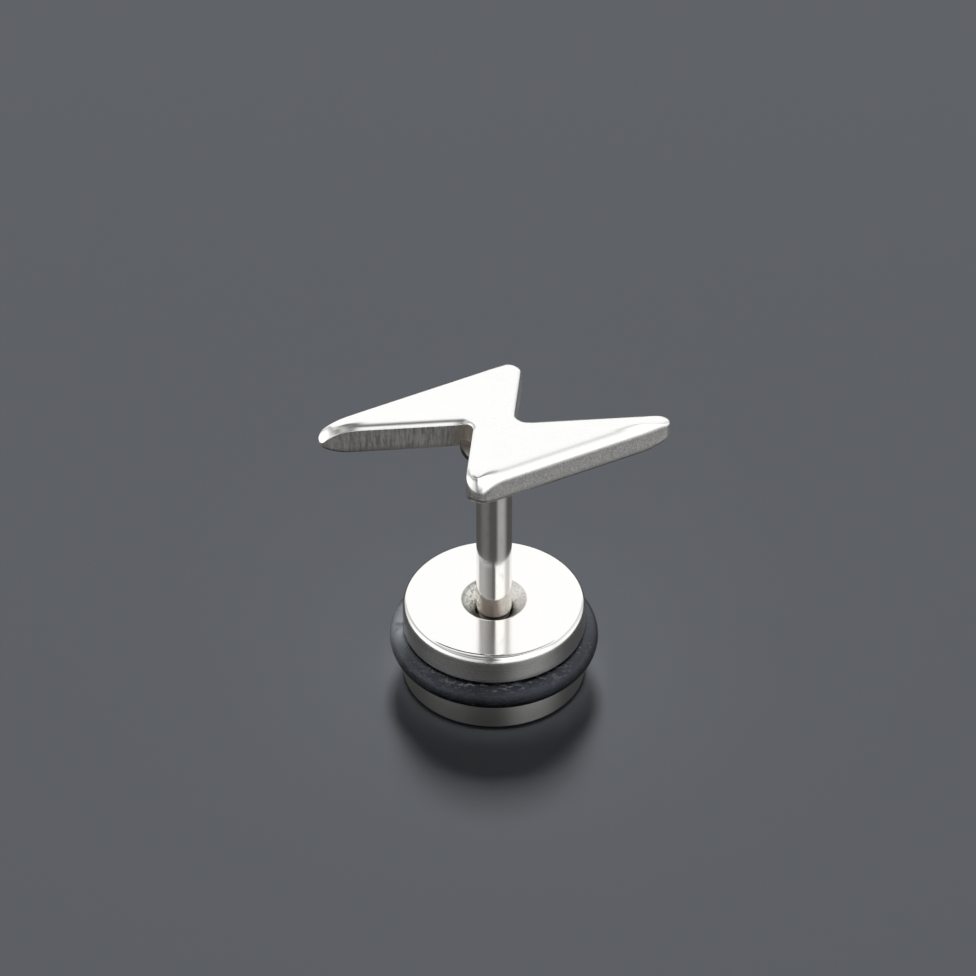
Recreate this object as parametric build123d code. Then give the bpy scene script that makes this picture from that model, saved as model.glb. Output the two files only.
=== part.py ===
from build123d import *
import os
from math import asin, cos, sin, pi, tan, radians

# Lightning bolt stud earring, standing on its back disc
# Millimetres. The origin is the centre of the disc's underside, the post points up along Z,
# and the bolt's long axis runs along X from tip to tip.

# Bolt plate, seen from above
bolt_length = 11.38  # from one rounded tip to the other
tip_radius = 0.22
lobe_x = 0.57  # centre of the round that ends the rear lobe
lobe_y = 2.55
lobe_radius = 0.43
notch_x = 1.00  # centre of the round that fills the rear notch
notch_y = 0.31
notch_radius = 0.30
plate_thickness = 1.12
plate_top_round = 0.18
plate_under_round = 0.04

# Post with its welded foot and threaded end
post_diameter = 1.17
grip_length = 6.60  # free length between the disc and the plate
weld_diameter = 2.20
weld_height = 1.10
shank_seat = 0.12  # how far the plain shank reaches into the disc's countersink
relief_length = 0.30
relief_depth = 0.18  # the neck above the thread, cut a little deeper than the thread itself
thread_pitch = 0.25
thread_turns = 7
thread_depth = 0.15
end_chamfer = 0.10

# Back disc
disc_diameter = 6.00
disc_thickness = 3.10
disc_top_round = 0.15
disc_foot_round = 0.10
countersink_diameter = 2.16
countersink_angle = 90.0
hole_point_angle = 118.0

# Rubber ring
ring_section = 0.90
groove_depth = 0.48

# Gaps between the pieces
post_clearance = 0.02  # around the post in its hole
end_clearance = 0.06  # under the post's end
ring_clearance = 0.02  # between the ring and the groove's floor
ring_side_gap = 0.07  # on each side of the ring

# Sizes that follow from the ones above
post_radius = post_diameter / 2
thread_crest_radius = post_radius - post_clearance / 2
thread_root_radius = post_radius - thread_depth
relief_radius = post_radius - relief_depth
shank_bottom = disc_thickness - shank_seat
thread_top = shank_bottom - relief_length
thread_bottom = thread_top - thread_turns * thread_pitch
post_bottom = thread_bottom - end_chamfer
plate_bottom = disc_thickness + grip_length
disc_radius = disc_diameter / 2
hole_radius = post_radius + post_clearance
hole_bottom = post_bottom - end_clearance
countersink_radius = countersink_diameter / 2
countersink_depth = (countersink_radius - hole_radius) / tan(radians(countersink_angle / 2))
hole_point_depth = hole_radius / tan(radians(hole_point_angle / 2))
groove_radius = disc_radius - groove_depth
groove_width = ring_section + 2 * ring_side_gap
groove_bottom = (disc_thickness - groove_width) / 2
groove_top = groove_bottom + groove_width
ring_radius = ring_section / 2
ring_centre_radius = groove_radius + ring_clearance + ring_radius


def straight_side(start, finish):
    """Both ends and the outward normal of the side that touches two corner rounds.
    A corner is (x, y, radius), with the radius negative where the corner is hollow.
    The outline is walked clockwise, so the solid lies to the right of every side."""
    start_centre = Vector(start[0], start[1])
    finish_centre = Vector(finish[0], finish[1])
    step = finish_centre - start_centre
    lean = asin((finish[2] - start[2]) / step.length)
    along = step.normalized()
    ahead = along * cos(lean) + Vector(-along.Y, along.X) * sin(lean)
    outward = Vector(-ahead.Y, ahead.X)
    return start_centre + outward * start[2], finish_centre + outward * finish[2], outward


def bolt_outline():
    """The lightning bolt: two long blades joined at the middle, the same after half a turn."""
    half = [
        (tip_radius - bolt_length / 2, 0.0, tip_radius),
        (lobe_x, lobe_y, lobe_radius),
        (notch_x, notch_y, -notch_radius),
    ]
    corners = half + [(-x, -y, radius) for x, y, radius in half]
    sides = [straight_side(corners[i - 1], corners[i]) for i in range(len(corners))]
    edges = []
    for i, (x, y, radius) in enumerate(corners):
        arriving = sides[i]
        leaving = sides[(i + 1) % len(corners)]
        crown = Vector(x, y) + (arriving[2] + leaving[2]).normalized() * radius
        edges.append(Line(arriving[0], arriving[1]))
        edges.append(ThreePointArc(arriving[1], crown, leaving[0]))
    return make_face(edges)


def bolt_plate():
    """The flat bolt, with its upper edge well rounded by polishing."""
    plate = extrude(Pos(0, 0, plate_bottom) * bolt_outline(), amount=plate_thickness)
    plate = fillet(plate.faces().sort_by(Axis.Z)[-1].edges(), plate_top_round)
    return fillet(plate.faces().sort_by(Axis.Z)[0].edges(), plate_under_round)


def thread_profile():
    """Corners of the ridged end, from the top ridge to the bottom one."""
    points = []
    for turn in range(thread_turns):
        ridge_top = thread_top - turn * thread_pitch
        points.append((thread_root_radius, ridge_top))
        points.append((thread_crest_radius, ridge_top - thread_pitch / 2))
    points.append((thread_root_radius, thread_bottom))
    points.append((thread_root_radius - end_chamfer, post_bottom))
    return points


def post():
    """The round post: a welded foot that spreads under the plate, a plain shank and a threaded end."""
    plate_middle = plate_bottom + plate_thickness / 2
    shank_top = plate_bottom - weld_height
    weld = TangentArc((post_radius, shank_top), (weld_diameter / 2, plate_bottom), tangent=(0, 1))
    rest = Polyline(
        (weld_diameter / 2, plate_bottom),
        (post_radius, plate_bottom),
        (post_radius, plate_middle),
        (0, plate_middle),
        (0, post_bottom),
        *reversed(thread_profile()),
        (relief_radius, thread_top),
        (relief_radius, shank_bottom),
        (post_radius, shank_bottom),
        (post_radius, shank_top),
    )
    return revolve(Plane.XZ * make_face([weld, rest]), Axis.Z)


def bolt_stud():
    return bolt_plate() + post()


def back_disc():
    """The thick disc: a groove round its middle and a countersunk blind hole in its top."""
    wall = Polyline(
        (0, 0),
        (disc_radius, 0),
        (disc_radius, groove_bottom),
        (groove_radius, groove_bottom),
        (groove_radius, groove_top),
        (disc_radius, groove_top),
        (disc_radius, disc_thickness),
        (countersink_radius, disc_thickness),
        (hole_radius, disc_thickness - countersink_depth),
        (hole_radius, hole_bottom),
        (0, hole_bottom - hole_point_depth),
        close=True,
    )
    disc = revolve(Plane.XZ * make_face(wall), Axis.Z)
    rims = disc.edges().filter_by(GeomType.CIRCLE).filter_by(lambda rim: abs(rim.radius - disc_radius) < post_clearance)
    rims = rims.sort_by(Axis.Z)
    disc = fillet(rims[-1], disc_top_round)
    rims = disc.edges().filter_by(GeomType.CIRCLE).sort_by(Axis.Z)
    return fillet(rims[0], disc_foot_round)


def o_ring():
    """The rubber ring in the groove, standing proud of the disc all round."""
    return Pos(0, 0, disc_thickness / 2) * Torus(ring_centre_radius, ring_radius)


os.makedirs("parts", exist_ok=True)
export_step(bolt_stud(), "parts/bolt_stud.step")
export_step(back_disc(), "parts/back_disc.step")
export_step(o_ring(), "parts/o_ring.step")
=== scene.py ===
# %% [markdown]
# # A lightning bolt stud on its screw back
#
# The object is a small steel ear stud, about 11 mm long and 11 mm high. A flat bolt with buffed
# edges is welded on a thin round post, the post is screwed into a thick round disc, and a black
# rubber ring sits in a groove round the disc. The CAD solids are loaded first. They give the
# sizes below, and each surface that is made here stands in for one of them, in the same place.

import bpy
import numpy as np
from mathutils import Matrix, Vector


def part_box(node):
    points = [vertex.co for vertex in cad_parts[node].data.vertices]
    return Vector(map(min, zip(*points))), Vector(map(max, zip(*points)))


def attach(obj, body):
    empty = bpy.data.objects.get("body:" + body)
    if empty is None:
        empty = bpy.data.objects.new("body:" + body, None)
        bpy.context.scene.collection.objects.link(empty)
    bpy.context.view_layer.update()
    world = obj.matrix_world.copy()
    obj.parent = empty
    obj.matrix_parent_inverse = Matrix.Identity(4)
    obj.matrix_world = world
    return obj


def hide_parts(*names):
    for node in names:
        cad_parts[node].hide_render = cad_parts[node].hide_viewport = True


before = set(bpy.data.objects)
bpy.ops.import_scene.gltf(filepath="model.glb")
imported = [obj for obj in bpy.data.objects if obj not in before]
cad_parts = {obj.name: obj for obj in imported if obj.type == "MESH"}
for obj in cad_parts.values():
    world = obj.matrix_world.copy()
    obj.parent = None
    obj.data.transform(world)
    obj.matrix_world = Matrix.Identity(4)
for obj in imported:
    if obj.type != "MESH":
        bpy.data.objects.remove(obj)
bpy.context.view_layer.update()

# %% [markdown]
# ## Sizes
#
# Everything is worked out in millimetres, because that is how the stud is made, and turned into
# metres when a mesh is written. The heights are read from the boxes of the CAD nodes, so they
# can't drift from the frame. The few sizes that a box doesn't show are the ones that the solids
# were drawn with.

# %% Sizes in millimetres
MM = 0.001
PLATE_THICKNESS = 1.12
POST_R = 0.585


def box_mm(node):
    """Lowest and highest corner of a CAD node, in millimetres."""
    low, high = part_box(node)
    return np.array(low) / MM, np.array(high) / MM


stud_low, stud_high = box_mm("bolt_stud")
disc_low, disc_high = box_mm("back_disc")
ring_low, ring_high = box_mm("o_ring")

PLATE_TOP = stud_high[2]
PLATE_UNDER = PLATE_TOP - PLATE_THICKNESS
POST_END = stud_low[2]
DISC_TOP = disc_high[2]
DISC_R = disc_high[0]
RING_R = (ring_high[2] - ring_low[2]) / 2
RING_REACH = ring_high[0] - RING_R
RING_LEVEL = (ring_high[2] + ring_low[2]) / 2
print("plate from", PLATE_UNDER, "to", PLATE_TOP, "post end", POST_END)
print("disc", DISC_R, DISC_TOP, "ring", RING_REACH, RING_R, RING_LEVEL)

# %% [markdown]
# ## From a grid of points to a closed mesh
#
# Every piece of this stud is a closed surface that can be laid out as a grid: rows run across
# the surface, from one end of a profile to the other, and columns run round it and meet again.
# A solid of revolution, a ring and even the bolt's zigzag plate are such grids. One helper
# therefore turns a grid into a mesh. The two open ends of the grid are closed either by a
# single flat face, which suits the plate, or by a fan round one point, which suits a pole.

# %% Grid helper


def grid_faces(rows, columns):
    """Corners of the squares between neighbouring rows and columns.

    A point's number is row * columns + column, and the last column meets the first.
    """
    row, column = np.meshgrid(np.arange(rows - 1), np.arange(columns), indexing="ij")
    after = (column + 1) % columns
    low, high = row * columns, (row + 1) * columns
    return np.stack([low + column, low + after, high + after, high + column], -1).reshape(-1, 4)


def grid_piece(name, points, body, stands_for, ends="pole"):
    """A closed piece from points[row, column, xyz] in mm.

    With ends="pole" the first and last rows are closed by fans round their own middle, with
    ends="face" by one flat face each, and with ends="ring" the last row meets the first.
    """
    rows, columns = points.shape[:2]
    vertices = points.reshape(-1, 3)
    faces = grid_faces(rows, columns).tolist()
    first, last = np.arange(columns), (rows - 1) * columns + np.arange(columns)
    if ends == "face":
        faces += [first[::-1].tolist(), last.tolist()]
    elif ends == "pole":
        vertices = np.vstack([vertices, points[0].mean(0), points[-1].mean(0)])
        low, high = rows * columns, rows * columns + 1
        faces += np.stack([np.roll(first, -1), first, np.full(columns, low)], -1).tolist()
        faces += np.stack([last, np.roll(last, -1), np.full(columns, high)], -1).tolist()
    else:
        faces += np.stack([last, np.roll(last, -1), np.roll(first, -1), first], -1).tolist()
    mesh = bpy.data.meshes.new(name)
    mesh.from_pydata((vertices * MM).tolist(), [], faces)
    mesh.shade_smooth()
    mesh.validate()
    piece = bpy.data.objects.new(name, mesh)
    bpy.context.scene.collection.objects.link(piece)
    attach(piece, body)
    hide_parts(stands_for)
    print(name, "has", len(mesh.vertices), "points and", len(mesh.polygons), "faces")
    return piece


def add_mask(piece, name, values):
    """Stores one number for each point of the grid, for the finish to read."""
    layer = piece.data.attributes.new(name, "FLOAT", "POINT")
    layer.data.foreach_set("value", values.ravel().astype(np.float32))
    print("mask", name, "on", piece.name)


# %% [markdown]
# ## The bolt's outline
#
# Seen from above the bolt is two long blades that lie side by side, head to tail. Its six
# corners are rounds: four that stick out and two hollow ones, the notches. An outline like this
# is easiest to describe as circles with straight lines that touch them, and it has a useful
# habit: moved inwards by some distance, a line moves straight in, an outer round gets smaller
# and a hollow round gets larger. So the whole family of shrunken outlines comes from one
# function. Where an outer round would shrink to nothing it stops at a small radius, so that the
# two lines next to it meet in a soft ridge. A buffing wheel leaves the same at the narrow tips
# of the real bolt.

# %% Outline
HALF_CORNERS = np.array([
    # middle of the round, and its radius, which is negative where the round is hollow
    [-5.47, 0.0, 0.22],  # left tip
    [0.57, 2.55, 0.43],  # rear lobe
    [1.00, 0.31, -0.30],  # rear notch
])
CORNERS = np.vstack([HALF_CORNERS, HALF_CORNERS * [-1, -1, 1]])
SIDE_STEP = 0.045  # wanted length of a grid square along a side
FEWEST_STEPS = 6
ARC_STEPS = 24
RIDGE_ROUND = 0.11  # smallest radius of a shrunken outer round


def touching_lines(corners):
    """Outward normal of each side and its distance from the origin.

    A side that touches two circles of signed radii r1 and r2, a distance s apart, leans by
    asin((r2 - r1) / s) from the line between their centres.
    """
    start, finish = corners, np.roll(corners, -1, 0)
    step = finish[:, :2] - start[:, :2]
    length = np.hypot(step[:, 0], step[:, 1])
    heading = np.arctan2(step[:, 1], step[:, 0]) + np.arcsin((finish[:, 2] - start[:, 2]) / length)
    normal = np.stack([-np.sin(heading), np.cos(heading)], -1)
    return normal, np.sum(normal * start[:, :2], 1) + start[:, 2]


NORMALS, REACHES = touching_lines(CORNERS)


def corner_rounds(inset):
    """Centres and signed radii of the six rounds once every side has moved in by the inset.

    An outer radius is r - inset, but never less than that of a soft ridge; a hollow one is
    r + inset. The centre lies where the two neighbouring sides, moved in by that radius, cross.
    """
    first = CORNERS[:, 2]
    radius = np.where(first > 0, np.maximum(first - inset, RIDGE_ROUND), first - inset)
    before, after = np.roll(NORMALS, 1, 0), NORMALS
    pair = np.stack([before, after], 1)
    reach = np.stack([np.roll(REACHES, 1) - inset - radius, REACHES - inset - radius], -1)
    return np.linalg.solve(pair, reach[..., None])[..., 0], radius


SIDE_LENGTHS = np.hypot(*(np.roll(CORNERS, -1, 0) - CORNERS)[:, :2].T)
SIDE_COUNTS = [max(FEWEST_STEPS, int(length / SIDE_STEP)) for length in SIDE_LENGTHS]


def outline(inset):
    """The outline moved in by the inset: arcs about the rounds' centres, joined by straight sides.

    It always has the same number of points in the same order, anticlockwise seen from above.
    """
    centres, radii = corner_rounds(inset)
    heading = np.arctan2(NORMALS[:, 1], NORMALS[:, 0])
    parts = []
    for i in range(len(CORNERS)):
        turn = (heading[i] - heading[i - 1] + np.pi) % (2 * np.pi) - np.pi
        angle = heading[i - 1] + turn * np.linspace(0, 1, ARC_STEPS + 1)[:, None]
        parts.append(centres[i] + radii[i] * np.hstack([np.cos(angle), np.sin(angle)]))
        following = (i + 1) % len(CORNERS)
        start = centres[i] + radii[i] * NORMALS[i]
        finish = centres[following] + radii[following] * NORMALS[i]
        along = np.linspace(0, 1, SIDE_COUNTS[i] + 1)[1:-1, None]
        parts.append(start + (finish - start) * along)
    return np.vstack(parts)[::-1]


rim = outline(0.0)
print("outline of", len(rim), "points, from", rim.min(0), "to", rim.max(0))

# %% [markdown]
# ## The plate
#
# The bolt is cut from sheet a little over 1 mm thick, so its walls are upright, and its top has
# been buffed. Buffing doesn't leave a neat quarter round: the top bends down in a wide, soft
# curve and turns into the cut wall at an edge that is crisp on the left blade and softer on the
# right one. At the front lobe the wheel takes off much more, and the lower edge is broken too.
# The plate could be an extruded curve with a bevel, but a bevel is the same all round. Here a
# small table says how far the bend reaches in, how far it drops, how round the lower edge is,
# with which power the bend falls and how round its outer edge is, at each corner and along each
# side, and the values in between are blended. A power of 2 gives an even bend, and a higher one
# stays flat for longer and then turns quickly. The bend at a point runs straight from the edge
# of the flat top to the outline. Long buffing has also worn the left tip and the front lobe down
# as a whole, which a second table gives as hollows of a depth and a reach. A cutting beam leaves
# fine upright furrows, so the wall points are moved in by up to a hundredth of a millimetre,
# each column by its own amount. Every point also gets a mask, 1 where the wheel has been and 0
# on the cut wall, which the finish reads later.

# %% Wear table
WEAR = np.array([
    # bend reaches in, bend drops, lower edge round, power, outer edge round
    [0.16, 0.20, 0.46, 2.0, 0.050],  # left tip
    [0.30, 0.18, 0.10, 2.0, 0.050],  # rear edge of the left blade
    [0.32, 0.26, 0.28, 2.0, 0.100],  # rear lobe
    [0.24, 0.12, 0.10, 2.0, 0.080],  # short side by the rear notch
    [0.16, 0.09, 0.06, 2.2, 0.030],  # rear notch
    [0.30, 0.18, 0.10, 2.0, 0.050],  # rear edge of the right blade
    [0.36, 0.22, 0.46, 2.2, 0.080],  # right tip
    [0.46, 0.26, 0.12, 2.0, 0.120],  # front edge of the right blade
    [0.28, 0.44, 0.42, 2.2, 0.050],  # front lobe
    [0.30, 0.13, 0.08, 2.0, 0.020],  # short side by the front notch
    [0.14, 0.09, 0.05, 2.4, 0.015],  # front notch
    [0.52, 0.17, 0.10, 3.0, 0.012],  # front edge of the left blade
])
CORNER_SPREAD = np.array([
    # how far a corner's wear reaches into the side listed before it, and into the one after it
    [0.80, 0.70],  # left tip
    [0.90, 0.45],  # rear lobe
    [0.35, 0.35],  # rear notch
    [0.70, 0.90],  # right tip
    [0.75, 0.45],  # front lobe
    [0.35, 0.35],  # front notch
])
HOLLOWS = np.array([
    # middle of the hollow, how far it reaches, how much it takes off the top there, power
    [-5.75, -0.25, 1.60, 0.62, 3.0],  # left tip
    [-0.60, -3.10, 0.95, 0.36, 1.8],  # front lobe
])


def outline_length():
    """Length along the outline from its first point to each point, and once round."""
    step = np.hypot(*(np.roll(rim, -1, 0) - rim).T)
    return np.concatenate([[0], np.cumsum(step)[:-1]]), step.sum()


LENGTH, ONCE_ROUND = outline_length()


def smoothed(values, bell):
    """Round the outline, each value's average with its neighbours, weighted by the bell."""
    side = len(bell) // 2
    wrapped = np.concatenate([values[-side:], values, values[:side]])
    return np.convolve(wrapped, bell / bell.sum(), "valid")


NEIGHBOURS = 12  # points on each side that an average takes in
BELL_REACH = 2  # the wear's bell exp(-x^2) is cut off at this x


def spread_wear():
    """The table's values at every point of the outline.

    A corner's value holds at its middle, a side's value from the spread of one corner to the
    spread of the next, with a straight blend between, softened by an average over neighbours.
    """
    starts = np.cumsum([0] + [ARC_STEPS + count for count in SIDE_COUNTS[:-1]])
    middles = LENGTH[len(rim) - 1 - (starts + ARC_STEPS // 2)]
    before = (middles - CORNER_SPREAD[:, 1]) % ONCE_ROUND
    after = (middles + CORNER_SPREAD[:, 0]) % ONCE_ROUND
    corner, side = WEAR[0::2], WEAR[1::2]
    places = np.concatenate([middles, before, after])
    bell = np.exp(-np.linspace(-BELL_REACH, BELL_REACH, 2 * NEIGHBOURS + 1) ** 2)
    spread = []
    for column in range(WEAR.shape[1]):
        values = np.concatenate([corner[:, column], side[:, column], np.roll(side[:, column], 1)])
        raw = np.interp(LENGTH, places, values, period=ONCE_ROUND)
        spread.append(smoothed(raw, bell))
    return spread


BEND_IN, BEND_DROP, UNDER_ROUND, BEND_POWER, EDGE_ROUND = spread_wear()
print("bend drops", BEND_DROP.min().round(3), "to", BEND_DROP.max().round(3), "mm")

# %% Plate helpers
INSETS = np.linspace(0, 0.80, 81)  # the ready shrunken outlines, 0.01 mm apart
FAMILY = np.stack([outline(d) for d in INSETS])
COLUMNS = np.arange(len(rim))


def moved_in(inset):
    """The outline with a separate inset for each point, read between the ready shrunken outlines."""
    place = np.interp(inset, INSETS, np.arange(len(INSETS)))
    lower = np.minimum(place.astype(int), len(INSETS) - 2)
    share = (place - lower)[:, None]
    return FAMILY[lower, COLUMNS] * (1 - share) + FAMILY[lower + 1, COLUMNS] * share


random = np.random.default_rng(7)


def furrows(spacing, depth):
    """Random depths round the outline, from 0 to the depth.

    They are white noise, averaged with the weights exp(-(n / spacing)^2) over n neighbours.
    """
    rough = random.random(len(rim))
    apart = np.arange(-NEIGHBOURS, NEIGHBOURS + 1)
    smooth = smoothed(rough, np.exp(-((apart / spacing) ** 2)))
    return depth * (smooth - smooth.min()) / np.ptp(smooth)


CUT_MARKS = furrows(1.2, 0.006) + furrows(4.0, 0.004)
FLAT_EDGE = moved_in(BEND_IN)
UNDER_EDGE = moved_in(UNDER_ROUND)
rows, buffed = [], []


def plate_row(place, height, mask):
    """One ring of the plate: points seen from above, their height, and whether they are buffed."""
    rows.append(np.column_stack([place, np.broadcast_to(height, len(rim))]))
    buffed.append(np.full(len(rim), mask))


def part_way(first, second, share):
    """Points a share of the way from the first set to the second; the share may differ by point."""
    share = np.broadcast_to(share, len(rim))[:, None]
    return first * (1 - share) + second * share


def top_height(place):
    """The plate's top, less depth * (1 - distance / reach)^power for each hollow."""
    apart = np.hypot(place[:, :1] - HOLLOWS[:, 0], place[:, 1:] - HOLLOWS[:, 1])
    near = np.clip(1 - apart / HOLLOWS[:, 2], 0, 1) ** HOLLOWS[:, 4]
    return PLATE_TOP - near @ HOLLOWS[:, 3]


def bend_row(inward, edge_share, mask):
    """A row of the bend at a share of the way in.

    Its drop is drop * (1 - inward)^power, and the outer edge adds round * (1 - edge_share),
    where the edge's share is the sine of its angle.
    """
    place = part_way(rim, FLAT_EDGE, inward)
    drop = BEND_DROP * (1 - inward) ** BEND_POWER + EDGE_ROUND * (1 - edge_share)
    plate_row(place, top_height(place) - drop, mask)


print("furrows up to", CUT_MARKS.max().round(4), "mm deep")

# %% [markdown]
# The rows are laid from the underside up: the lower edge's quarter round, the cut wall, the
# outer edge's round, the bend, and a few rows on the flat top that follow the hollows. The
# furrows fade out at the foot and the head of the wall, so that both edges stay clean.

# %% Plate
UNDER_ROWS, WALL_ROWS, EDGE_ROWS, BEND_ROWS = 8, 9, 7, 20
UNDER_BUFFED = 0.7  # the wheel has touched the underside's rim, but not as much as the top
UNDER_SEAM = 0.03  # how far inside the lower edge the underside's flat face begins
FOOT_FADE, HEAD_FADE = 4, 8  # the furrows grow in the wall's lowest 1/4 and fade in its top 1/8
EDGE_WIDTH = 0.8  # width of the outer edge's round, for each unit of its height
FULLY_BUFFED = 0.7486  # angle on that round, in radians, above which it's all buffed
BEND_CROWDING = 1.35  # above 1, the bend's rows lie closer together near its outer edge
TOP_STEPS = (0.02, 0.06, 0.12, 0.20, 0.30)  # further rows on the flat top, inside the bend

plate_row(moved_in(UNDER_ROUND + UNDER_SEAM), PLATE_UNDER, UNDER_BUFFED)
for share in np.linspace(0, 1, UNDER_ROWS):
    slope = share * np.pi / 2
    height = PLATE_UNDER + UNDER_ROUND * (1 - np.cos(slope))
    plate_row(part_way(UNDER_EDGE, rim, np.sin(slope)), height, UNDER_BUFFED * (1 - share) ** 3)
wall_foot = PLATE_UNDER + UNDER_ROUND
wall_head = top_height(rim) - BEND_DROP - EDGE_ROUND
for share in np.linspace(0, 1, WALL_ROWS)[1:-1]:
    fade = min(1.0, FOOT_FADE * share, HEAD_FADE * (1 - share))
    plate_row(moved_in(CUT_MARKS * fade), wall_foot + (wall_head - wall_foot) * share, 0.0)
edge_in = EDGE_WIDTH * EDGE_ROUND / BEND_IN
for slope in np.linspace(0, np.pi / 2, EDGE_ROWS)[:-1]:
    bend_row(edge_in * (1 - np.cos(slope)), np.sin(slope), min(1.0, slope / FULLY_BUFFED))
for share in np.linspace(0, 1, BEND_ROWS) ** BEND_CROWDING:
    bend_row(edge_in + (1 - edge_in) * share, 1.0, 1.0)
for further in TOP_STEPS:
    place = moved_in(BEND_IN + further)
    plate_row(place, top_height(place), 1.0)

plate = grid_piece("bolt_plate", np.stack(rows), "bolt", "bolt_stud", ends="face")
add_mask(plate, "buffed", np.stack(buffed))

# %% [markdown]
# ## Turning a profile
#
# The post and the disc come off a lathe, so each is a profile of radius and height, carried
# round the axis. A sharp corner would look like cut paper, because a real edge always has a tiny
# round that catches the light. So a profile is written as corners with a radius each, and a
# helper replaces every corner by an arc. On both sides of an arc it adds a point close by, which
# keeps the shading of the flats flat.

# %% Lathe helpers
AROUND = 256
TURN = np.arange(AROUND) * 2 * np.pi / AROUND


def rounded_profile(corners, steps=6, near=0.015):
    """Points (radius, height) of a profile whose corners (radius, height, round) are arcs.

    With a half angle a between the two sides of a corner, the arc of radius r starts r / tan(a)
    before the corner, and its centre lies r / sin(a) from it on the line that halves the angle.
    A spoke at share t of the arc's sweep w is (sin((1 - t) w) first + sin(t w) last) / sin(w).
    """
    path = [np.array(corners[0][:2])]
    for before, (x, y, radius), after in zip(corners[:-2], corners[1:-1], corners[2:]):
        here = np.array([x, y])
        back, ahead = np.array(before[:2]) - here, np.array(after[:2]) - here
        back, ahead = back / np.hypot(*back), ahead / np.hypot(*ahead)
        half = np.arccos(np.clip(back @ ahead, -1, 1)) / 2
        middle = (back + ahead) / np.hypot(*(back + ahead))
        centre = here + middle * radius / np.sin(half)
        start, finish = here + back * radius / np.tan(half), here + ahead * radius / np.tan(half)
        share = np.linspace(0, 1, steps + 1)[:, None]
        sweep = np.pi - 2 * half
        leaving = np.sin((1 - share) * sweep) * (start - centre)
        arriving = np.sin(share * sweep) * (finish - centre)
        spokes = (leaving + arriving) / np.sin(sweep)
        path += [start + back * near, *(centre + spokes), finish + ahead * near]
    path.append(np.array(corners[-1][:2]))
    return np.array(path)


def turned(profile):
    """Carries (radius, height) rows round the axis: x = r cos t, y = r sin t, z = height."""
    radius = profile[:, 0, None]
    height = np.broadcast_to(profile[:, 1, None], (len(profile), AROUND))
    return np.stack([radius * np.cos(TURN), radius * np.sin(TURN), height], -1)


def divided(profile, longest):
    """Adds points along the straight runs, so that no run is longer than the given length."""
    out = [profile[:1]]
    for start, finish in zip(profile[:-1], profile[1:]):
        parts = max(1, int(np.ceil(np.hypot(*(finish - start)) / longest)))
        out.append(start + (finish - start) * np.linspace(0, 1, parts + 1)[1:, None])
    return np.vstack(out)


print("lathe set to", AROUND, "steps a turn")

# %% [markdown]
# ## The post
#
# The post is a piece of 1.2 mm wire. At its head it spreads into the weld that holds the plate,
# below it is smooth, and its last 2 mm carry a thread that is hidden in the disc until the stud
# is unscrewed. A thread is a helix, so its radius depends on the height and on the angle at once:
# one turn of the angle must shift the pattern by one pitch. This is why the post is a grid of
# angle and height, and not only a turned profile.

# %% Post helpers
THREAD_TOP, THREAD_FOOT, PITCH = 2.68, 0.93, 0.25
CREST_R, ROOT_R, NECK_R = 0.573, 0.445, 0.405
SHANK_FOOT = 2.76
WELD_R, WELD_FOOT = 1.10, PLATE_UNDER - 1.10
RIDGE_HEIGHT, RIDGE_SINK = 1.25, 0.1  # cut a pointed ridge off flat at its crest and its root
RUN_IN, RUN_OUT = 0.6, 0.4  # the share of a pitch in which the ridge fades at either end


def weld_flare(steps):
    """Quarter-like arc that leaves the shank upright and meets the plate at the weld's radius.

    An arc that starts upright and moves out by w over a rise h has the radius (h^2 + w^2) / (2 w).
    """
    out, rise = WELD_R - POST_R, PLATE_UNDER - WELD_FOOT
    radius = (rise**2 + out**2) / (2 * out)
    height = np.linspace(0, rise, steps)
    return np.column_stack([POST_R + radius - np.sqrt(radius**2 - height**2), WELD_FOOT + height])


def thread_radius(height, angle):
    """Root radius plus a ridge that climbs one pitch a turn and fades at both ends.

    The ridge is the triangle wave of height / pitch - turns, stretched and cut off flat.
    """
    phase = height / PITCH - angle / (2 * np.pi)
    ridge = 1 - np.abs(2 * (phase - np.floor(phase)) - 1)
    ridge = np.clip(RIDGE_HEIGHT * ridge - RIDGE_SINK, 0, 1)
    run_in = np.clip((height - THREAD_FOOT) / (RUN_IN * PITCH), 0, 1)
    run_out = np.clip((THREAD_TOP - height) / (RUN_OUT * PITCH), 0, 1)
    return ROOT_R + (CREST_R - ROOT_R) * ridge * run_in * run_out


print("thread with", (THREAD_TOP - THREAD_FOOT) / PITCH, "turns")

# %% Post
POLE_R = 0.02  # where the grid ends and a fan closes the middle
END_CHAMFER = 0.10
ROWS_A_TURN = 14
LONGEST_RUN = 0.12
HIDDEN_HEAD = 0.3  # how far the post goes on, inside the plate

thread_rows = int((THREAD_TOP - THREAD_FOOT) / PITCH * ROWS_A_TURN)
thread_heights = np.linspace(THREAD_FOOT, THREAD_TOP, thread_rows)
threaded = np.column_stack([np.full(thread_rows, ROOT_R), thread_heights])
post_end = rounded_profile([
    (POLE_R, POST_END, 0),
    (ROOT_R - END_CHAMFER, POST_END, 0.02),
    (ROOT_R, THREAD_FOOT, 0),
])[:-1]
neck = rounded_profile([
    (NECK_R, THREAD_TOP + 0.02, 0),
    (NECK_R, SHANK_FOOT, 0.03),
    (POST_R, SHANK_FOOT, 0.03),
    (POST_R, WELD_FOOT, 0),
])
head = np.array([
    [WELD_R, PLATE_UNDER + 0.05],
    [WELD_R, PLATE_UNDER + HIDDEN_HEAD],
    [POLE_R, PLATE_UNDER + HIDDEN_HEAD],
])
shank = divided(neck, LONGEST_RUN)
post_points = turned(np.vstack([post_end, threaded, shank, weld_flare(18)[1:], head]))
thread_part = slice(len(post_end), len(post_end) + thread_rows)
helix = thread_radius(thread_heights[:, None], TURN)
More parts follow.
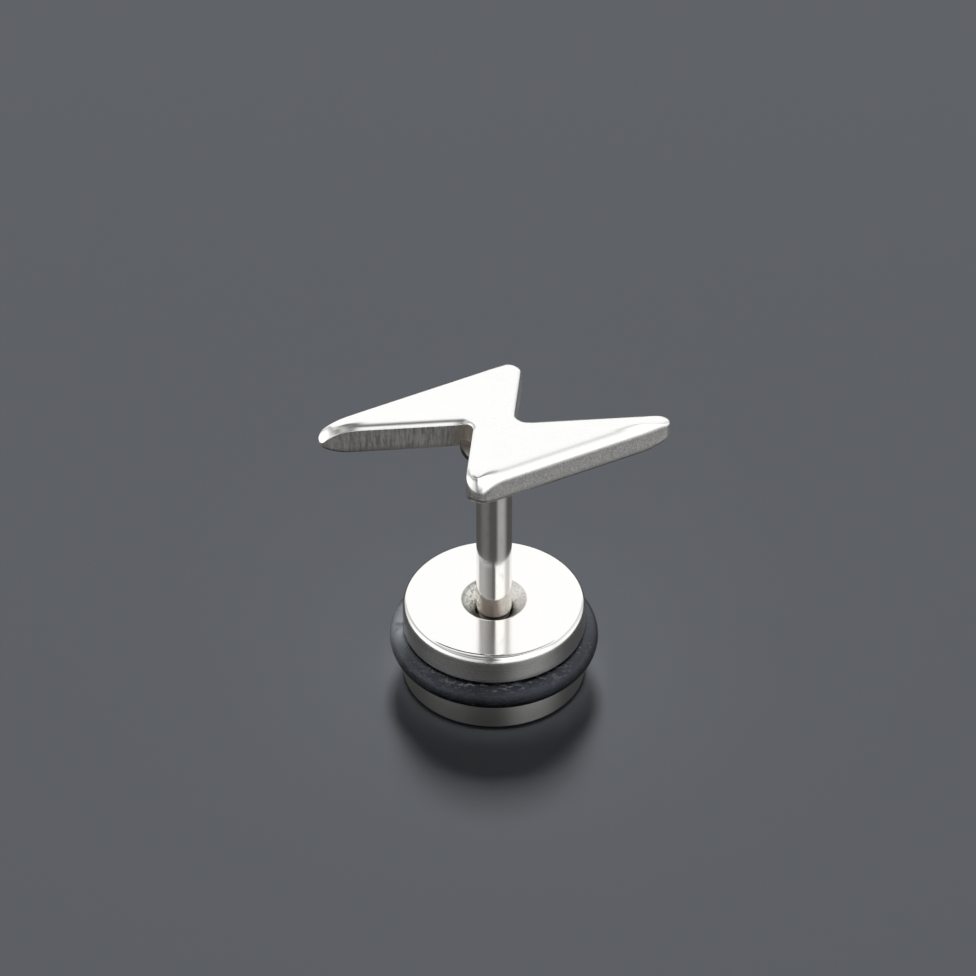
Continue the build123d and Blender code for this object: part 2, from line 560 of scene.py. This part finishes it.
post_points[thread_part, :, 0] = helix * np.cos(TURN)
post_points[thread_part, :, 1] = helix * np.sin(TURN)

post = grid_piece("post", post_points, "bolt", "bolt_stud")

# %% [markdown]
# ## The back disc
#
# The disc is a thick coin with a groove round its middle for the rubber ring, and a countersunk
# blind hole in its top for the post. Its rims are polished round. It's one turned profile, walked
# from the middle of the underside, out and up over the wall and the groove, in over the top, and
# down to the bottom of the hole.

# %% Disc
GROOVE_R, GROOVE_FOOT, GROOVE_TOP = 2.52, 1.03, 2.07
HOLE_R, HOLE_FLOOR, DRILL_POINT = 0.605, 0.77, 0.407
SINK_R, SINK_DEPTH = 1.08, 0.475
SINK_FLOOR = DISC_TOP - SINK_DEPTH
DISC_POLE_R = 0.03
disc_corners = [
    # radius, height, round of the corner
    (DISC_POLE_R, 0.0, 0),
    (DISC_R, 0.0, 0.16),
    (DISC_R, GROOVE_FOOT, 0.03),
    (GROOVE_R, GROOVE_FOOT, 0.05),
    (GROOVE_R, GROOVE_TOP, 0.05),
    (DISC_R, GROOVE_TOP, 0.03),
    (DISC_R, DISC_TOP, 0.26),
    (SINK_R, DISC_TOP, 0.10),
    (HOLE_R, SINK_FLOOR, 0.02),
    (HOLE_R, HOLE_FLOOR, 0.02),
    (DISC_POLE_R, DRILL_POINT, 0),
]
disc_profile = divided(rounded_profile(disc_corners, steps=9), 0.14)
disc = grid_piece("screw_disc", turned(disc_profile), "back", "back_disc")

# %% [markdown]
# ## The rubber ring
#
# An O-ring is a torus, but a rubber one that was rolled into its groove is never perfect. Two
# slow waves make its section a little thinner here and there, and a third shifts it up and down
# by a few thousandths of a millimetre. What the section loses is more than the shift, so that
# the ring stays inside its CAD box.

# %% Ring
RING_AROUND, RING_SECTION = 288, 56
RING_SPARE = 0.002  # taken off the section everywhere
# each slow wave: its size in mm, how often it swings in one turn of the ring, where it starts
THINNING_WAVES = [(0.006, 3, 0.7), (0.004, 7, 2.1)]
LIFT, LIFT_SWINGS, LIFT_START = 0.003, 2, 1.0


def ring_points():
    """x, y = (R + r cos s)(cos t, sin t), z = level + lift + r sin s, where r has waves in t."""
    t = (np.arange(RING_AROUND) * 2 * np.pi / RING_AROUND)[None, :]
    s = (np.arange(RING_SECTION) * 2 * np.pi / RING_SECTION)[:, None]
    thin = sum(size * (1 + np.sin(swings * t + start)) / 2 for size, swings, start in THINNING_WAVES)
    r = RING_R - thin - RING_SPARE
    lift = LIFT * np.sin(LIFT_SWINGS * t + LIFT_START)
    far = RING_REACH + r * np.cos(s)
    return np.stack([far * np.cos(t), far * np.sin(t), RING_LEVEL + lift + r * np.sin(s)], -1)


ring = grid_piece("rubber_ring", ring_points(), "back", "o_ring", ends="ring")

# %% [markdown]
# ## Writing a finish as maths
#
# A finish is a small network of nodes, and most of those nodes only do sums. A class that wraps
# one socket makes the sums readable: an expression on two sockets adds the Math node that works
# it out. Any other node comes from its method `node`, which is given the node's type, its
# settings and what goes into its sockets.

# %% Socket class


class Signal:
    """One output socket of a material's nodes, or its bare node tree, with Python's operators."""

    def __init__(self, tree, socket=None):
        self.tree, self.socket = tree, socket

    def node(self, kind, settings=None, inputs=None, output=0):
        """A new node: its settings first, such as a Math node's operation, then its sockets."""
        made = self.tree.nodes.new(kind)
        for name, value in (settings or {}).items():
            setattr(made, name, value)
        for name, value in (inputs or {}).items():
            if isinstance(value, Signal):
                self.tree.links.new(value.socket, made.inputs[name])
            else:
                made.inputs[name].default_value = value
        return Signal(self.tree, made.outputs[output])

    def sum_of(self, operation, *values):
        """A Math node for the operation on the values, in their order."""
        return self.node("ShaderNodeMath", {"operation": operation}, dict(enumerate(values)))

    def __add__(self, other):
        return self.sum_of("ADD", self, other)

    __radd__ = __add__

    def __sub__(self, other):
        return self.sum_of("SUBTRACT", self, other)

    def __rsub__(self, other):
        return self.sum_of("SUBTRACT", other, self)

    def __mul__(self, other):
        return self.sum_of("MULTIPLY", self, other)

    __rmul__ = __mul__

    def __truediv__(self, other):
        return self.sum_of("DIVIDE", self, other)

    def __pow__(self, other):
        return self.sum_of("POWER", self, other)

    def __abs__(self):
        return self.sum_of("ABSOLUTE", self)

    def larger(self, other):
        return self.sum_of("MAXIMUM", self, other)

    def between(self, start, finish):
        """0 below start, 1 above finish and a smooth rise between; reversed if start is larger."""
        ends = {0: self, 1: min(start, finish), 2: max(start, finish)}
        rise = self.node("ShaderNodeMapRange", {"interpolation_type": "SMOOTHSTEP"}, ends)
        return rise if start < finish else 1 - rise

    def blend(self, first, second):
        """A colour: the first where this signal is 0, the second where it is 1."""
        return self.node("ShaderNodeMix", {"data_type": "RGBA"}, {0: self, 6: first, 7: second}, 2)

    def noise(self, place, scale, detail, roughness):
        """Cloudy noise from 0 to 1 at a place, with the scale in cells per millimetre."""
        return self.node("ShaderNodeTexNoise", None, {
            "Vector": place, "Scale": scale, "Detail": detail, "Roughness": roughness})


def give_finish(piece, name, build, **constants):
    """Gives the piece a new material.

    build(signal) returns the sockets that vary over the surface; the constants are set directly.
    """
    material = bpy.data.materials.new(name)
    material.use_nodes = True
    tree = material.node_tree
    shader = tree.nodes["Principled BSDF"]
    for socket, value in constants.items():
        shader.inputs[socket.replace("_", " ")].default_value = value
    for socket, value in build(Signal(tree)).items():
        tree.links.new(value.socket, shader.inputs[socket])
    piece.data.materials.clear()
    piece.data.materials.append(material)
    print("finish", name, "with", len(tree.nodes), "nodes")


def place_mm(signal, stretch=(1, 1, 1)):
    """The point on the piece in millimetres, with each direction stretched by a factor."""
    coordinate = signal.node("ShaderNodeTexCoord", None, None, "Object")
    scale = tuple(1 / MM * factor for factor in stretch)
    return signal.node("ShaderNodeMapping", None, {"Vector": coordinate, "Scale": scale})


def along_mm(signal, axis):
    """How far along an axis of the stud a point lies, in millimetres; along Z it's the height."""
    return signal.node("ShaderNodeSeparateXYZ", None, {0: place_mm(signal)}, axis)


def reach_mm(signal, middle=(0, 0, 0)):
    """How far a point lies from an upright line, by default the post's axis, in millimetres."""
    ends = {0: place_mm(signal, (1, 1, 0)), 1: middle}
    return signal.node("ShaderNodeVectorMath", {"operation": "DISTANCE"}, ends, "Value")


def bumps(signal, height, depth_mm, under=None):
    """A Bump node for a height signal from 0 to 1 that stands for a depth in millimetres."""
    inputs = {"Height": height, "Distance": depth_mm * MM, "Strength": 1.0}
    if under is not None:
        inputs["Normal"] = under
    return signal.node("ShaderNodeBump", None, inputs, "Normal")


print("shader helpers ready")

# %% [markdown]
# ## Buffed steel with cut walls
#
# The bolt has two finishes that meet in the crisp edge. Its top was buffed on a wheel: nearly a
# mirror, with a faint waviness and smears. Its wall is as the beam left it: darker, matt, with
# upright furrows and a fine grain, browner and more blotchy on the long left wall, and browner
# and darker in the front notch. Towards its foot the wall is darkened with painted shade, for the
# dark floor that the lower edge reflects. Both finishes are one material, because they are one
# piece of steel, and the mask that was stored with the mesh says which is which. The furrows
# come from noise whose height is stretched, so that a cell of it is narrow and tall. A colour
# below is how much red, green and blue light the steel throws back.

# %% Bolt finish
CUT_DARK, CUT_PALE = (0.40, 0.39, 0.38, 1), (1.00, 1.00, 1.00, 1)
CUT_FOOT_PAINTED_SHADE, CUT_LEFT = (0.30, 0.295, 0.29, 1), (0.36, 0.345, 0.33, 1)
NOTCH_BROWN, NOTCH_TINT_MIDDLE = (0.66, 0.59, 0.50, 1), (-0.85, -0.45, 0)
BUFFED_DULL, BUFFED_BRIGHT = (0.92, 0.92, 0.915, 1), (0.96, 0.96, 0.96, 1)
FURROW_DEPTH, SMEAR_DEPTH = 0.010, 0.0016


def bolt_finish(signal):
    """Colour, roughness and relief of the cut wall and the buffed top, shared out by the mask."""
    mask = signal.node("ShaderNodeAttribute", {"attribute_name": "buffed"}, None, "Fac")
    cut = 1 - mask
    left_blade = along_mm(signal, "X").between(0.0, -0.6)
    furrow = signal.noise(place_mm(signal, (1, 1, 0.12)), 9.5, 4.0, 0.75)
    grain = signal.noise(place_mm(signal, (1, 1, 0.7)), 22.0, 2.0, 0.55)
    blotch = signal.noise(place_mm(signal), 1.5, 3.0, 0.55).between(0.38, 0.62)
    smear = signal.noise(place_mm(signal, (0.4, 1, 1)), 3.0, 3.0, 0.6)
    furrowed = left_blade * (0.30 + 0.70 * blotch)
    grained = 1 - furrowed
    wall_tone = furrowed * furrow.between(0.42, 0.58) + grained * grain.between(0.05, 0.95)
    wall = wall_tone.blend(CUT_DARK, CUT_PALE)
    # Painted shade: the wall darkens towards its foot, for the dark floor that the lower edge
    # reflects.
    foot_shade = along_mm(signal, "Z").between(PLATE_UNDER + 0.34, PLATE_UNDER + 0.04)
    wall = (0.6 * foot_shade).blend(wall, CUT_FOOT_PAINTED_SHADE)
    wall = (left_blade * (0.22 + 0.25 * blotch)).blend(wall, CUT_LEFT)
    # The wall in the front notch is browner and darker.
    notch_tint = reach_mm(signal, NOTCH_TINT_MIDDLE).between(0.75, 0.40)
    wall = (0.75 * notch_tint).blend(wall, NOTCH_BROWN)
    top_rough = 0.17 + 0.09 * (1 - left_blade) + 0.03 * smear
    normal = bumps(signal, cut * (furrowed * furrow + grained * 0.3 * grain), FURROW_DEPTH)
    return {
        "Base Color": mask.blend(wall, smear.blend(BUFFED_DULL, BUFFED_BRIGHT)),
        "Roughness": mask * top_rough + cut * (0.42 + 0.10 * grain),
        "Normal": bumps(signal, mask * smear, SMEAR_DEPTH, normal),
    }


give_finish(plate, "buffed bolt steel", bolt_finish, Metallic=1.0)

# %% [markdown]
# ## Drawn and turned steel
#
# The post's wire was polished while it turned, which leaves very fine lines round it. They are
# too fine to see one by one, but they spread each reflection up and down into a bright streak.
# The threaded end and the weld are duller and the lower shank is a little warmer. Painted shade
# darkens the weld just under the plate and turns the neck above the thread almost black. The disc
# was faced and turned in the same way: its walls show the lines, its top is polished, and the
# countersink was cut with a tool that chattered and left specks. Painted shade darkens the disc's
# walls towards the foot, makes the front of the countersink darker and browner, fills the hole
# and draws a black line round the foot.

# %% Post finish
SHANK_STEEL, DULL_STEEL = (0.90, 0.89, 0.875, 1), (0.52, 0.50, 0.475, 1)
WARM_STEEL, JOINT_PAINTED_SHADE = (0.93, 0.885, 0.83, 1), (0.12, 0.11, 0.10, 1)
NECK_PAINTED_SHADE = (0.02, 0.018, 0.016, 1)
DRAWN_DEPTH = 0.0007


def post_finish(signal):
    """Steel that is duller or warmer by height, with painted shade under the plate and in the neck,
    scuffs and fine lines round it.
    """
    height = along_mm(signal, "Z")
    lines = signal.noise(place_mm(signal, (0.05, 0.05, 1)), 28.0, 3.0, 0.7)
    scuff = signal.noise(place_mm(signal, (1, 1, 0.5)), 5.0, 3.0, 0.6)
    weld = height.between(WELD_FOOT + 0.15, PLATE_UNDER - 0.25)
    threads = height.between(SHANK_FOOT, SHANK_FOOT - 0.25)
    # Painted shade: below the shank the neck above the thread is turned almost black, as the gap
    # round it inside the hole lies in shade.
    below_shank = height.between(SHANK_FOOT + 0.01, SHANK_FOOT - 0.01)
    recess_shade = below_shank * height.between(THREAD_TOP - 0.3, THREAD_TOP)
    dull = (0.8 * weld + 0.7 * threads + 0.25 * scuff.between(0.55, 0.75)) * 0.8
    steel = (dull + 0.2 * scuff).blend(SHANK_STEEL, DULL_STEEL)
    steel = (0.6 * height.between(5.0, 3.5)).blend(steel, WARM_STEEL)
    # Painted shade: the weld just under the plate is darkened where the plate shades it.
    under_plate_shade = height.between(PLATE_UNDER - 0.45, PLATE_UNDER - 0.10)
    steel = (0.9 * under_plate_shade).blend(steel, JOINT_PAINTED_SHADE)
    return {
        "Base Color": recess_shade.blend(steel, NECK_PAINTED_SHADE),
        "Roughness": 0.07 + 0.05 * scuff + 0.16 * dull + 0.3 * recess_shade,
        "Normal": bumps(signal, lines, DRAWN_DEPTH),
    }


give_finish(post, "polished post steel", post_finish, Metallic=1.0)

# %% Disc finish
TURNED_DARK, TURNED_PALE = (0.48, 0.48, 0.475, 1), (0.82, 0.82, 0.815, 1)
TURNED_CLOUD, TURNED_FOOT_PAINTED_SHADE = (0.52, 0.515, 0.51, 1), (0.38, 0.38, 0.375, 1)
SINK_STEEL, SINK_SPECK = (0.90, 0.90, 0.87, 1), (0.36, 0.36, 0.33, 1)
SINK_SHADE, SINK_PAINTED_SHADE = (0.33, 0.33, 0.29, 1), (0.30, 0.27, 0.25, 1)
FACE_STEEL, HOLE_PAINTED_SHADE = (0.94, 0.94, 0.935, 1), (0.03, 0.027, 0.024, 1)
PAINTED_CONTACT_SHADOW = (0.012, 0.012, 0.012, 1)
TURNED_DEPTH = 0.006


def disc_finish(signal):
    """Polished face, turned walls, speckled sink, with painted shade in the hole, on the lower wall,
    in front of the sink and as a line at the base, by height and reach.
    """
    place = place_mm(signal)
    height, reach = along_mm(signal, "Z"), reach_mm(signal)
    across, rearward = along_mm(signal, "X"), along_mm(signal, "Y")
    lines = signal.noise(place_mm(signal, (0.03, 0.03, 1)), 26.0, 3.0, 0.7)
    grain = signal.noise(place, 24.0, 2.0, 0.6)
    cloud = signal.noise(place, 1.1, 2.0, 0.5)
    speck = signal.noise(place, 11.0, 3.0, 0.75).between(0.50, 0.62)
    speck = speck * (1 - 0.5 * across.between(-0.5, 0.5))

    wall = (0.5 * lines + 0.5 * grain).between(0.3, 0.7).blend(TURNED_DARK, TURNED_PALE)
    wall = (cloud * 0.4).blend(wall, TURNED_CLOUD)
    # Painted shade: the wall darkens towards its foot, for the shadowed floor that it would reflect.
    wall = height.between(1.6, 0.2).blend(wall, TURNED_FOOT_PAINTED_SHADE)

    lip = reach.between(SINK_R - 0.14, SINK_R - 0.04)
    # Painted shade: the countersink is darker and browner in front, mostly on the left.
    recess_shade = rearward.between(0.1, -0.6) * (1 - 0.75 * across.between(0.1, 0.6))
    sunk = speck.blend(SINK_STEEL, SINK_SPECK)
    sunk = (0.6 * lip * across.between(0.3, -0.6)).blend(sunk, SINK_SHADE)
    sunk = recess_shade.blend(sunk, SINK_PAINTED_SHADE)

    sink = height.between(SINK_FLOOR - 0.05, SINK_FLOOR)
    sink = sink * reach.between(SINK_R + 0.01, SINK_R - 0.02)
    face = height.between(DISC_TOP - 0.22, DISC_TOP - 0.10)
    face = face * reach.between(SINK_R - 0.01, SINK_R + 0.02)
    # Painted shade fills the hole below the countersink.
    deep = height.between(SINK_FLOOR + 0.06, SINK_FLOOR - 0.02)
    deep = deep * reach.between(HOLE_R + 0.09, HOLE_R + 0.03)
    colour = face.blend(sink.blend(wall, sunk), FACE_STEEL)
    colour = deep.blend(colour, HOLE_PAINTED_SHADE)
    # Painted contact shadow: a black line round the foot.
    colour = height.between(0.16, 0.07).blend(colour, PAINTED_CONTACT_SHADOW)
    relief = (1 - face) * (0.65 * lines + 0.35 * grain) + sink * 0.8 * speck
    return {
        "Base Color": colour,
        "Roughness": face * (0.09 + 0.03 * cloud) + (1 - face) * (0.26 + 0.10 * grain),
        "Normal": bumps(signal, relief, TURNED_DEPTH),
    }


give_finish(disc, "turned disc steel", disc_finish, Metallic=1.0)

# %% [markdown]
# ## Rubber
#
# The ring is black rubber with a blue cast. It's satin, its skin is finely pitted, and it has
# picked up dust, which shows as tiny pale specks, and scuffs where it was rolled on. A pale blue
# patch on its left is painted sheen, and its lower half is darker with painted shade. Along the
# front, where the disc's rim rubs it, short pale streaks run round it. Specks are the middles of
# a Voronoi pattern's cells, of which a noise keeps only some.

# %% Ring finish
RUBBER_DARK, RUBBER_PALE = (0.002, 0.0025, 0.005, 1), (0.036, 0.039, 0.052, 1)
RUBBER_PAINTED_SHADE, SCUFF_GREY = (0.001, 0.001, 0.001, 1), (0.20, 0.20, 0.22, 1)
PAINTED_SHEEN_BLUE, RUB_PALE = (0.88, 0.94, 1.00, 1), (0.85, 0.85, 0.90, 1)
DUST_PALE = (0.75, 0.76, 0.80, 1)
SKIN_DEPTH = 0.012


def ring_finish(signal):
    """Cloudy black with painted shade below, a painted sheen on the left, streaks in front, scuffs
    and dust.
    """
    place = place_mm(signal)
    across, rearward, height = (along_mm(signal, axis) for axis in "XYZ")
    skin = signal.noise(place, 16.0, 3.0, 0.6)
    cloud = signal.noise(place, 1.3, 2.0, 0.5).between(0.35, 0.65)
    cells = {"Vector": place, "Scale": 7.0}
    from_middle = signal.node("ShaderNodeTexVoronoi", None, cells, "Distance")
    kept = signal.noise(place, 2.3, 1.0, 0.5).between(0.52, 0.60)
    dust = from_middle.between(0.22, 0.10) * kept
    scuff = signal.noise(place_mm(signal, (1, 1, 3)), 5.0, 4.0, 0.75).between(0.52, 0.70)

    # Painted sheen: a pale blue patch on the upper left, weaker towards the back where the lamp
    # lights it.
    painted_sheen = across.between(-2.65, -3.0) * rearward.between(-1.7, -0.9) * rearward.between(1.6, 0.9)
    painted_sheen = painted_sheen * (0.65 + 0.35 * rearward.between(0.8, 0.1))
    painted_sheen = painted_sheen * (1 - 0.6 * rearward.between(-0.2, -1.0))
    painted_sheen = painted_sheen * signal.noise(place_mm(signal, (1, 1, 2)), 2.4, 3.0, 0.6).between(0.22, 0.50)

    rub = signal.noise(place_mm(signal, (0.35, 1, 2)), 8.0, 4.0, 0.8).between(0.53, 0.62)
    lip = height.between(RING_LEVEL + 0.20, RING_LEVEL + 0.36) * rearward.between(-1.6, -2.6)

    colour = cloud.blend(RUBBER_DARK, RUBBER_PALE)
    # Painted shade: the lower half of the ring is darker.
    colour = height.between(RING_LEVEL + 0.1, RING_LEVEL - 0.25).blend(colour, RUBBER_PAINTED_SHADE)
    colour = (0.4 * scuff).blend(colour, SCUFF_GREY)
    colour = painted_sheen.blend(colour, PAINTED_SHEEN_BLUE)
    colour = (rub * lip).blend(colour, RUB_PALE)
    return {
        "Base Color": dust.blend(colour, DUST_PALE),
        "Roughness": 0.30 + 0.16 * skin + 0.10 * scuff,
        "Normal": bumps(signal, skin + 0.5 * scuff, SKIN_DEPTH),
    }


SHEEN_TINT = (0.76, 0.84, 1.0, 1)
give_finish(
    ring, "black ring rubber", ring_finish, Specular_IOR_Level=0.70, Specular_Tint=SHEEN_TINT)

# %% [markdown]
# ## Floor, light and camera
#
# Polished steel has no look of its own: it shows what stands round it. Jewellery is therefore
# photographed in a tent of white cloth, open at the front for the camera. The tent here is a
# sphere that only reflections can see. It's bright behind and above, dark high in front, and it
# has a pale panel to each side of the camera, the right one brighter. Its lower half stands for
# the table as the steel sees it: dim, brighter on the right, and black straight below, which
# draws the thin dark line at the lower edges. The floor gets its light from one soft lamp high
# behind the stud, which throws the short soft shadow towards the camera, and a little from all
# round. Only the disc and the ring block the lamp, because wide studio light leaves no shadow of
# the small bolt so high above the floor.

# %% Floor
FLOOR_HALF = 1.5  # half its width, in metres
FLOOR_GREY, FLOOR_PALE = (0.595, 0.630, 0.690, 1), (0.605, 0.640, 0.700, 1)
floor_mesh = bpy.data.meshes.new("floor")
floor_corners = FLOOR_HALF * np.array([[-1, -1, 0], [1, -1, 0], [1, 1, 0], [-1, 1, 0]])
floor_mesh.from_pydata(floor_corners.tolist(), [], [(0, 1, 2, 3)])
floor = bpy.data.objects.new("floor", floor_mesh)
bpy.context.scene.collection.objects.link(floor)
floor.visible_glossy = False


def floor_finish(signal):
    """Two very near greys in clouds of a few centimetres."""
    cloud = signal.noise(place_mm(signal), 0.02, 1.0, 0.5)
    return {"Base Color": cloud.blend(FLOOR_GREY, FLOOR_PALE)}


give_finish(floor, "pale floor", floor_finish, Roughness=0.9, Specular_IOR_Level=0.0)

# %% Directions
CAMERA_TURN = np.radians(2.2)  # how far left of straight in front of the bolt the camera stands
ahead = Vector((np.sin(CAMERA_TURN), np.cos(CAMERA_TURN), 0))
aside = Vector((np.cos(CAMERA_TURN), -np.sin(CAMERA_TURN), 0))


def toward(azimuth, elevation):
    """Unit vector at an azimuth to the right of straight behind the stud and at an elevation.

    Both are in degrees: cos e (ahead cos a + aside sin a) + up sin e.
    """
    a, e = np.radians(azimuth), np.radians(elevation)
    return (ahead * np.cos(a) + aside * np.sin(a)) * np.cos(e) + Vector((0, 0, np.sin(e)))


print("behind is", [round(v, 3) for v in toward(0, 0)])

# %% Tent
TENT_RADIUS = 1.2


def tent_points(steps=48, around=64):
    """A sphere round the stud: x, y = R cos e (cos a, sin a), z = R sin e on a grid of a and e."""
    elevation = np.radians(np.linspace(-89.5, 89.5, steps))[:, None]
    azimuth = (np.arange(around) * 2 * np.pi / around)[None, :]
    flat = np.cos(elevation)
    return TENT_RADIUS * np.stack([
        flat * np.cos(azimuth), flat * np.sin(azimuth), np.sin(elevation) + 0 * azimuth], -1)


tent_grid = tent_points()
tent_mesh = bpy.data.meshes.new("tent")
tent_faces = grid_faces(*tent_grid.shape[:2])
tent_mesh.from_pydata(tent_grid.reshape(-1, 3).tolist(), [], tent_faces.tolist())
tent = bpy.data.objects.new("tent", tent_mesh)
bpy.context.scene.collection.objects.link(tent)
tent.visible_camera = tent.visible_diffuse = tent.visible_shadow = tent.visible_transmission = False
tent.visible_volume_scatter = False


TENT_WHITE = (1.0, 0.995, 0.985, 1)


def tent_material():
    """Brightness of the tent by direction, in cosines with straight behind, right and up.

    Above the table it's the largest of the haze, the cloth and the right panel. The side and
    front cosines are also taken along the ground alone, divided by sqrt(1 - up^2).
    """
    material = bpy.data.materials.new("tent cloth")
    material.use_nodes = True
    tree = material.node_tree
    tree.nodes.remove(tree.nodes["Principled BSDF"])
    signal = Signal(tree)
    spot = signal.node("ShaderNodeTexCoord", None, None, "Object")
    facing = signal.node("ShaderNodeVectorMath", {"operation": "NORMALIZE"}, {0: spot}, "Vector")

    def along(direction):
        pair = {0: facing, 1: direction}
        return signal.node("ShaderNodeVectorMath", {"operation": "DOT_PRODUCT"}, pair, "Value")

    back, side, up = along(ahead), along(aside), along(Vector((0, 0, 1)))
    flat = (1.0001 - up * up) ** 0.5
    turned_right, turned_front = side / flat, -1 * back / flat
    lean = back / (back * back + up * up + 0.0001) ** 0.5

    above = up.between(-0.12, -0.05)
    cloth = 1.06 * lean.between(-0.24, 0.20) * abs(side).between(0.82, 0.60)
    strip = turned_right + 0.12 * up.between(0.66, 0.46) + 0.10 * up.between(0.72, 0.84)
    right_panel = strip.between(0.00, 0.30) * turned_front.between(-0.5, 0.6)
    right_panel = right_panel * up.between(0.975, 0.90)
    to_left = turned_right.between(-0.05, -0.32) * turned_front.between(-0.5, 0.3)
    low_left = to_left * up.between(0.72, 0.42)
    top_left = 0.7 * to_left * up.between(0.96, 0.82) * up.between(0.68, 0.78)
    on_right = side.between(-0.2, 0.3)
    high_left = (1 - on_right) * up.between(0.30, 0.65)
    haze = 0.12 + (0.95 + 0.10 * on_right) * (1 - 0.45 * high_left) * side * side
    haze = haze + 0.55 * (low_left + top_left)
    lit_above = haze.larger(cloth.larger(1.25 * right_panel))

    right_ground = turned_right.between(0.15, 0.6) * turned_front.between(-0.2, 0.6)
    left_ground = turned_right.between(-0.3, -0.8) * turned_front.between(-0.4, 0.4)
    lit_below = (0.085 + 0.31 * right_ground + 0.07 * left_ground) * up.between(-0.86, -0.70)
    brightness = above * lit_above + (1 - above) * lit_below
    glow = signal.node("ShaderNodeEmission", None, {"Color": TENT_WHITE, "Strength": brightness})
    tree.links.new(glow.socket, tree.nodes["Material Output"].inputs["Surface"])
    return material


tent.data.materials.append(tent_material())
print("tent of radius", TENT_RADIUS, "m")

# %% Lamp and world
KEY_DIRECTION = toward(0, 42.8)
KEY_DISTANCE, KEY_WIDTH, KEY_DEPTH = 1.0, 0.22, 0.36  # metres
KEY_POWER = 2.50
WORLD_BLUE, WORLD_STRENGTH = (0.93, 0.96, 1.0, 1), 0.016

light = bpy.data.lights.new("key lamp", "AREA")
light.shape = "RECTANGLE"
light.size, light.size_y, light.energy = KEY_WIDTH, KEY_DEPTH, KEY_POWER
key = bpy.data.objects.new("key lamp", light)
facing_stud = KEY_DIRECTION.to_track_quat("Z", "Y").to_matrix().to_4x4()
key.matrix_world = Matrix.Translation(KEY_DIRECTION * KEY_DISTANCE) @ facing_stud
key.visible_glossy = False
bpy.context.scene.collection.objects.link(key)
shadowed = bpy.data.collections.new("shadow of disc and ring")
shadowed.objects.link(disc)
shadowed.objects.link(ring)
key.light_linking.blocker_collection = shadowed

world = bpy.data.worlds.new("studio")
world.use_nodes = True
surround = world.node_tree.nodes["Background"].inputs
surround["Color"].default_value = WORLD_BLUE
surround["Strength"].default_value = WORLD_STRENGTH
scene = bpy.context.scene
scene.world = world
scene.view_settings.view_transform = "Standard"
print("lamp and world set")

# %% [markdown]
# The camera stands where the photographer stood: 41 degrees above the floor and far away, so
# that a long lens sees the stud almost without perspective. A lens of length f shows a width of
# sensor * distance / f, which gives the length from the pixels that one millimetre takes up.

# %% Camera
CAMERA_HEIGHT = 41.0  # degrees above the floor
CAMERA_DISTANCE, SENSOR = 300.0, 36.0  # millimetres
PICTURE_WIDTH = 976
PIXELS_PER_MM = 30.24
AIM_RIGHT, AIM_UP = -0.199, 5.966  # the picture's middle, in mm right of and above the origin

look = -toward(180, CAMERA_HEIGHT)
upward = aside.cross(look).normalized()
aim = (aside * AIM_RIGHT + upward * AIM_UP) * MM
camera_data = bpy.data.cameras.new("camera")
camera_data.lens = PIXELS_PER_MM * CAMERA_DISTANCE / PICTURE_WIDTH * SENSOR
camera_data.sensor_width = SENSOR
camera_data.clip_start, camera_data.clip_end = 0.01, 10
camera = bpy.data.objects.new("camera", camera_data)
turn = Matrix((aside, upward, -look)).transposed().to_4x4()
camera.matrix_world = Matrix.Translation(aim - look * CAMERA_DISTANCE * MM) @ turn
scene.collection.objects.link(camera)
scene.camera = camera
print("lens", round(camera_data.lens, 1), "mm")
